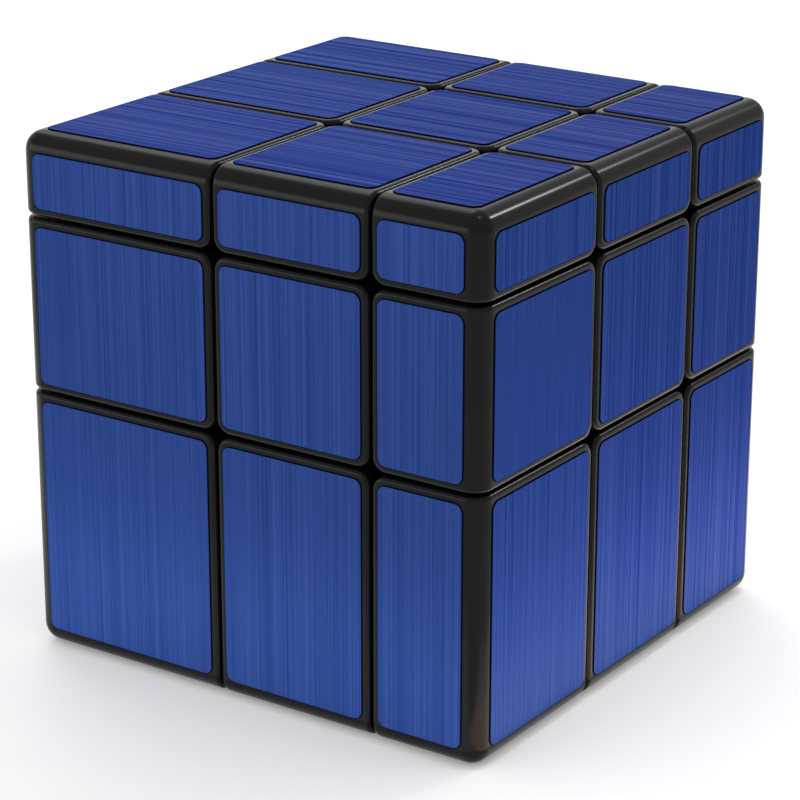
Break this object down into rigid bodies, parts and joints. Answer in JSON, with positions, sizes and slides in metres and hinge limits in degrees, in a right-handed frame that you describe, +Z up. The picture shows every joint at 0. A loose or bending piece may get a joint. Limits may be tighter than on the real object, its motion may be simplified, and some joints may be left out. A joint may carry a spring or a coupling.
{
  "type": "mirror block cube",
  "caption": "Twisty puzzle cube with layers of unequal thickness, black plastic under blue brushed-foil stickers; every outer face turns about one off-centre core.",
  "frame": {"origin": "the middle of the cube's bottom face", "axes": "+Z up, the front face towards -Y and the right face towards +X; the mechanism's centre is at X 6, Y 2, Z 38.5 mm"},
  "size_m": [0.057, 0.057, 0.057],
  "materials": {
    "black_plastic": "satin moulded",
    "blue_foil": "brushed and anodised foil",
    "core_plastic": "moulded",
    "steel": "turned and zinc plated",
    "spring_steel": "drawn wire"
  },
  "bodies": {
    "core": {"core": "core_plastic", "screw_left": "steel", "screw_right": "steel", "screw_front": "steel", "screw_back": "steel", "screw_down": "steel", "screw_up": "steel", "washer_left": "steel", "washer_right": "steel", "washer_front": "steel", "washer_back": "steel", "washer_down": "steel", "washer_up": "steel"},
    "center_left": {"center_body_left": "black_plastic", "center_cap_left": "black_plastic", "spring_left": "spring_steel"},
    "center_right": {"center_body_right": "black_plastic", "center_cap_right": "black_plastic", "spring_right": "spring_steel"},
    "center_front": {"center_body_front": "black_plastic", "center_cap_front": "black_plastic", "spring_front": "spring_steel"},
    "center_back": {"center_body_back": "black_plastic", "center_cap_back": "black_plastic", "spring_back": "spring_steel"},
    "center_down": {"center_body_down": "black_plastic", "center_cap_down": "black_plastic", "spring_down": "spring_steel"},
    "center_up": {"center_body_up": "black_plastic", "center_cap_up": "black_plastic", "spring_up": "spring_steel"},
    "edge_up_front": {"edge_up_front": "black_plastic"},
    "edge_up_back": {"edge_up_back": "black_plastic"},
    "edge_down_front": {"edge_down_front": "black_plastic"},
    "edge_down_back": {"edge_down_back": "black_plastic"},
    "edge_front_left": {"edge_front_left": "black_plastic"},
    "edge_front_right": {"edge_front_right": "black_plastic"},
    "edge_back_left": {"edge_back_left": "black_plastic"},
    "edge_back_right": {"edge_back_right": "black_plastic"},
    "edge_up_left": {"edge_up_left": "black_plastic"},
    "edge_up_right": {"edge_up_right": "black_plastic"},
    "edge_down_left": {"edge_down_left": "black_plastic"},
    "edge_down_right": {"edge_down_right": "black_plastic"},
    "corner_up_front_left": {"corner_up_front_left": "black_plastic"},
    "corner_up_front_right": {"corner_up_front_right": "black_plastic"},
    "corner_up_back_left": {"corner_up_back_left": "black_plastic"},
    "corner_up_back_right": {"corner_up_back_right": "black_plastic"},
    "corner_down_front_left": {"corner_down_front_left": "black_plastic"},
    "corner_down_front_right": {"corner_down_front_right": "black_plastic"},
    "corner_down_back_left": {"corner_down_back_left": "black_plastic"},
    "corner_down_back_right": {"corner_down_back_right": "black_plastic"}
  },
  "joints": [
    {"name": "left_turn", "type": "hinge", "parent": "core", "child": "center_left", "pos_m": [0.006, 0.002, 0.0385], "axis": [1, 0, 0], "continuous": true},
    {"name": "right_turn", "type": "hinge", "parent": "core", "child": "center_right", "pos_m": [0.006, 0.002, 0.0385], "axis": [1, 0, 0], "continuous": true},
    {"name": "front_turn", "type": "hinge", "parent": "core", "child": "center_front", "pos_m": [0.006, 0.002, 0.0385], "axis": [0, 1, 0], "continuous": true},
    {"name": "back_turn", "type": "hinge", "parent": "core", "child": "center_back", "pos_m": [0.006, 0.002, 0.0385], "axis": [0, 1, 0], "continuous": true},
    {"name": "down_turn", "type": "hinge", "parent": "core", "child": "center_down", "pos_m": [0.006, 0.002, 0.0385], "axis": [0, 0, 1], "continuous": true},
    {"name": "up_turn", "type": "hinge", "parent": "core", "child": "center_up", "pos_m": [0.006, 0.002, 0.0385], "axis": [0, 0, 1], "continuous": true},
    {"name": "edge_up_front_turn", "type": "hinge", "parent": "center_up", "child": "edge_up_front", "pos_m": [0.006, 0.002, 0.0385], "axis": [0, 1, 0], "continuous": true},
    {"name": "edge_up_back_turn", "type": "hinge", "parent": "center_up", "child": "edge_up_back", "pos_m": [0.006, 0.002, 0.0385], "axis": [0, 1, 0], "continuous": true},
    {"name": "edge_down_front_turn", "type": "hinge", "parent": "center_down", "child": "edge_down_front", "pos_m": [0.006, 0.002, 0.0385], "axis": [0, 1, 0], "continuous": true},
    {"name": "edge_down_back_turn", "type": "hinge", "parent": "center_down", "child": "edge_down_back", "pos_m": [0.006, 0.002, 0.0385], "axis": [0, 1, 0], "continuous": true},
    {"name": "edge_front_left_turn", "type": "hinge", "parent": "center_front", "child": "edge_front_left", "pos_m": [0.006, 0.002, 0.0385], "axis": [1, 0, 0], "continuous": true},
    {"name": "edge_front_right_turn", "type": "hinge", "parent": "center_front", "child": "edge_front_right", "pos_m": [0.006, 0.002, 0.0385], "axis": [1, 0, 0], "continuous": true},
    {"name": "edge_back_left_turn", "type": "hinge", "parent": "center_back", "child": "edge_back_left", "pos_m": [0.006, 0.002, 0.0385], "axis": [1, 0, 0], "continuous": true},
    {"name": "edge_back_right_turn", "type": "hinge", "parent": "center_back", "child": "edge_back_right", "pos_m": [0.006, 0.002, 0.0385], "axis": [1, 0, 0], "continuous": true},
    {"name": "edge_up_left_turn", "type": "hinge", "parent": "center_left", "child": "edge_up_left", "pos_m": [0.006, 0.002, 0.0385], "axis": [0, 0, 1], "continuous": true},
    {"name": "edge_up_right_turn", "type": "hinge", "parent": "center_right", "child": "edge_up_right", "pos_m": [0.006, 0.002, 0.0385], "axis": [0, 0, 1], "continuous": true},
    {"name": "edge_down_left_turn", "type": "hinge", "parent": "center_left", "child": "edge_down_left", "pos_m": [0.006, 0.002, 0.0385], "axis": [0, 0, 1], "continuous": true},
    {"name": "edge_down_right_turn", "type": "hinge", "parent": "center_right", "child": "edge_down_right", "pos_m": [0.006, 0.002, 0.0385], "axis": [0, 0, 1], "continuous": true},
    {"name": "corner_up_front_left_turn", "type": "hinge", "parent": "edge_up_front", "child": "corner_up_front_left", "pos_m": [0.006, 0.002, 0.0385], "axis": [1, 0, 0], "continuous": true},
    {"name": "corner_up_front_right_turn", "type": "hinge", "parent": "edge_up_front", "child": "corner_up_front_right", "pos_m": [0.006, 0.002, 0.0385], "axis": [1, 0, 0], "continuous": true},
    {"name": "corner_up_back_left_turn", "type": "hinge", "parent": "edge_up_back", "child": "corner_up_back_left", "pos_m": [0.006, 0.002, 0.0385], "axis": [1, 0, 0], "continuous": true},
    {"name": "corner_up_back_right_turn", "type": "hinge", "parent": "edge_up_back", "child": "corner_up_back_right", "pos_m": [0.006, 0.002, 0.0385], "axis": [1, 0, 0], "continuous": true},
    {"name": "corner_down_front_left_turn", "type": "hinge", "parent": "edge_down_front", "child": "corner_down_front_left", "pos_m": [0.006, 0.002, 0.0385], "axis": [1, 0, 0], "continuous": true},
    {"name": "corner_down_front_right_turn", "type": "hinge", "parent": "edge_down_front", "child": "corner_down_front_right", "pos_m": [0.006, 0.002, 0.0385], "axis": [1, 0, 0], "continuous": true},
    {"name": "corner_down_back_left_turn", "type": "hinge", "parent": "edge_down_back", "child": "corner_down_back_left", "pos_m": [0.006, 0.002, 0.0385], "axis": [1, 0, 0], "continuous": true},
    {"name": "corner_down_back_right_turn", "type": "hinge", "parent": "edge_down_back", "child": "corner_down_back_right", "pos_m": [0.006, 0.002, 0.0385], "axis": [1, 0, 0], "continuous": true}
  ],
  "couplings": [
    {"joint": "edge_up_front_turn", "follows": "front_turn", "ratio": 1},
    {"joint": "edge_up_back_turn", "follows": "back_turn", "ratio": 1},
    {"joint": "edge_down_front_turn", "follows": "front_turn", "ratio": 1},
    {"joint": "edge_down_back_turn", "follows": "back_turn", "ratio": 1},
    {"joint": "edge_front_left_turn", "follows": "left_turn", "ratio": 1},
    {"joint": "edge_front_right_turn", "follows": "right_turn", "ratio": 1},
    {"joint": "edge_back_left_turn", "follows": "left_turn", "ratio": 1},
    {"joint": "edge_back_right_turn", "follows": "right_turn", "ratio": 1},
    {"joint": "edge_up_left_turn", "follows": "up_turn", "ratio": 1},
    {"joint": "edge_up_right_turn", "follows": "up_turn", "ratio": 1},
    {"joint": "edge_down_left_turn", "follows": "down_turn", "ratio": 1},
    {"joint": "edge_down_right_turn", "follows": "down_turn", "ratio": 1},
    {"joint": "corner_up_front_left_turn", "follows": "left_turn", "ratio": 1},
    {"joint": "corner_up_front_right_turn", "follows": "right_turn", "ratio": 1},
    {"joint": "corner_up_back_left_turn", "follows": "left_turn", "ratio": 1},
    {"joint": "corner_up_back_right_turn", "follows": "right_turn", "ratio": 1},
    {"joint": "corner_down_front_left_turn", "follows": "left_turn", "ratio": 1},
    {"joint": "corner_down_front_right_turn", "follows": "right_turn", "ratio": 1},
    {"joint": "corner_down_back_left_turn", "follows": "left_turn", "ratio": 1},
    {"joint": "corner_down_back_right_turn", "follows": "right_turn", "ratio": 1}
  ]
}
